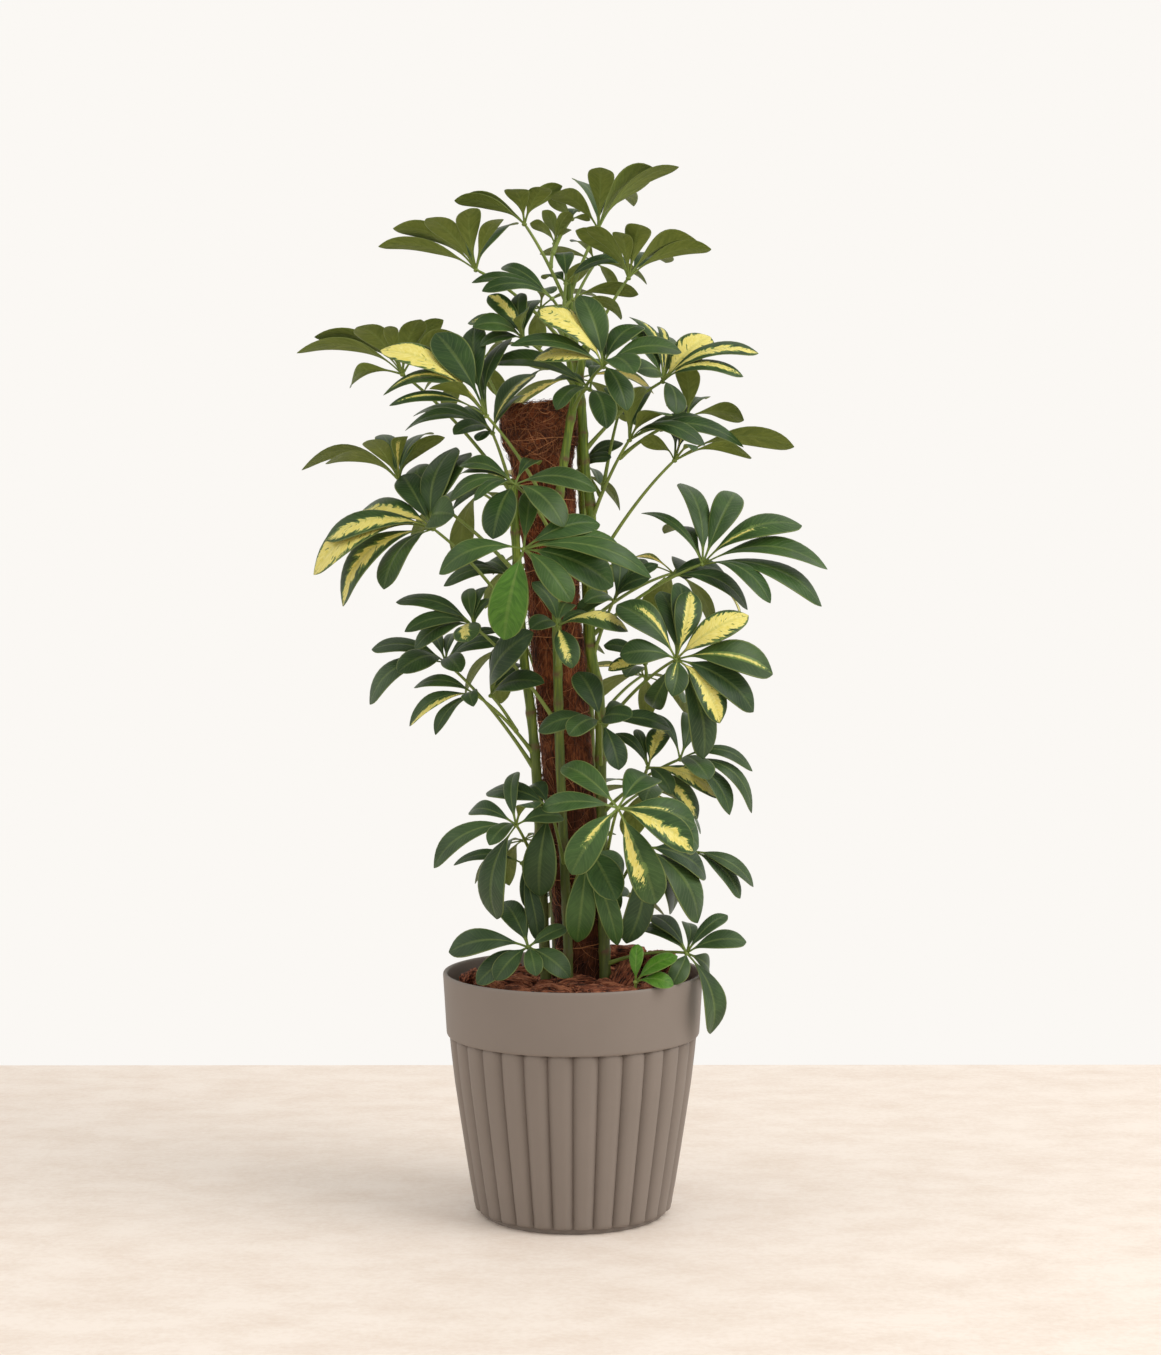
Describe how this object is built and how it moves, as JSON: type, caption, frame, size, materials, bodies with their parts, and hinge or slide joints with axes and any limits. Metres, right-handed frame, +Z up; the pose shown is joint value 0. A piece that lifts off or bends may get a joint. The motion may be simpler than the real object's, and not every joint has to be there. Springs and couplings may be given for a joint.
{
  "type": "potted umbrella plant",
  "caption": "House plant with umbrella-like leaves of splayed leaflets, trained up a coir pole in a fluted round pot topped with bark mulch.",
  "frame": {"origin": "centre of the pot's flat base, on the floor", "axes": "+Z up along the pot's axis, -Y towards the front, +X to the right seen from the front"},
  "size_m": [0.5223, 0.3771, 1.046],
  "materials": {
    "pot": "matt taupe grey",
    "soil": "damp potting soil",
    "mulch": "rough red-brown bark and coir chunks",
    "stake": "plain round stake",
    "coir": "dark brown matted coir fibre",
    "stem": "smooth olive-green bark with brown scars",
    "leaf": "leathery satin green, some splashed with pale yellow"
  },
  "bodies": {
    "root": {"pot": "pot", "potting_soil": "soil", "bark_mulch": "mulch", "pole_stake": "stake", "coir_pole": "coir", "stem_front": "stem", "stem_right": "stem", "stem_left": "stem", "stem_back": "stem", "stem_rear_left": "stem", "leaf_a": "leaf", "leaf_aa": "leaf", "leaf_b": "leaf", "leaf_bb": "leaf", "leaf_bc": "leaf", "leaf_cc": "leaf", "leaf_cd": "leaf", "leaf_d": "leaf", "leaf_dd": "leaf", "leaf_e": "leaf", "leaf_ee": "leaf", "leaf_f": "leaf", "leaf_ff": "leaf", "leaf_g": "leaf", "leaf_gg": "leaf", "leaf_h": "leaf", "leaf_hh": "leaf", "leaf_i": "leaf", "leaf_j": "leaf", "leaf_k": "leaf", "leaf_kk": "leaf", "leaf_l": "leaf", "leaf_ll": "leaf", "leaf_m": "leaf", "leaf_mm": "leaf", "leaf_n": "leaf", "leaf_o": "leaf", "leaf_p": "leaf", "leaf_q": "leaf", "leaf_s": "leaf", "leaf_t": "leaf", "leaf_u": "leaf", "leaf_v": "leaf", "leaf_x": "leaf", "leaf_z": "leaf", "leaf_back_1": "leaf", "leaf_back_2": "leaf", "leaf_back_3": "leaf", "leaf_back_4": "leaf", "leaf_back_5": "leaf", "leaf_back_6": "leaf", "leaf_back_7": "leaf", "leaf_back_8": "leaf", "leaf_back_9": "leaf", "leaf_back_10": "leaf", "leaf_back_11": "leaf", "leaf_back_12": "leaf", "leaf_back_13": "leaf"}
  },
  "joints": []
}
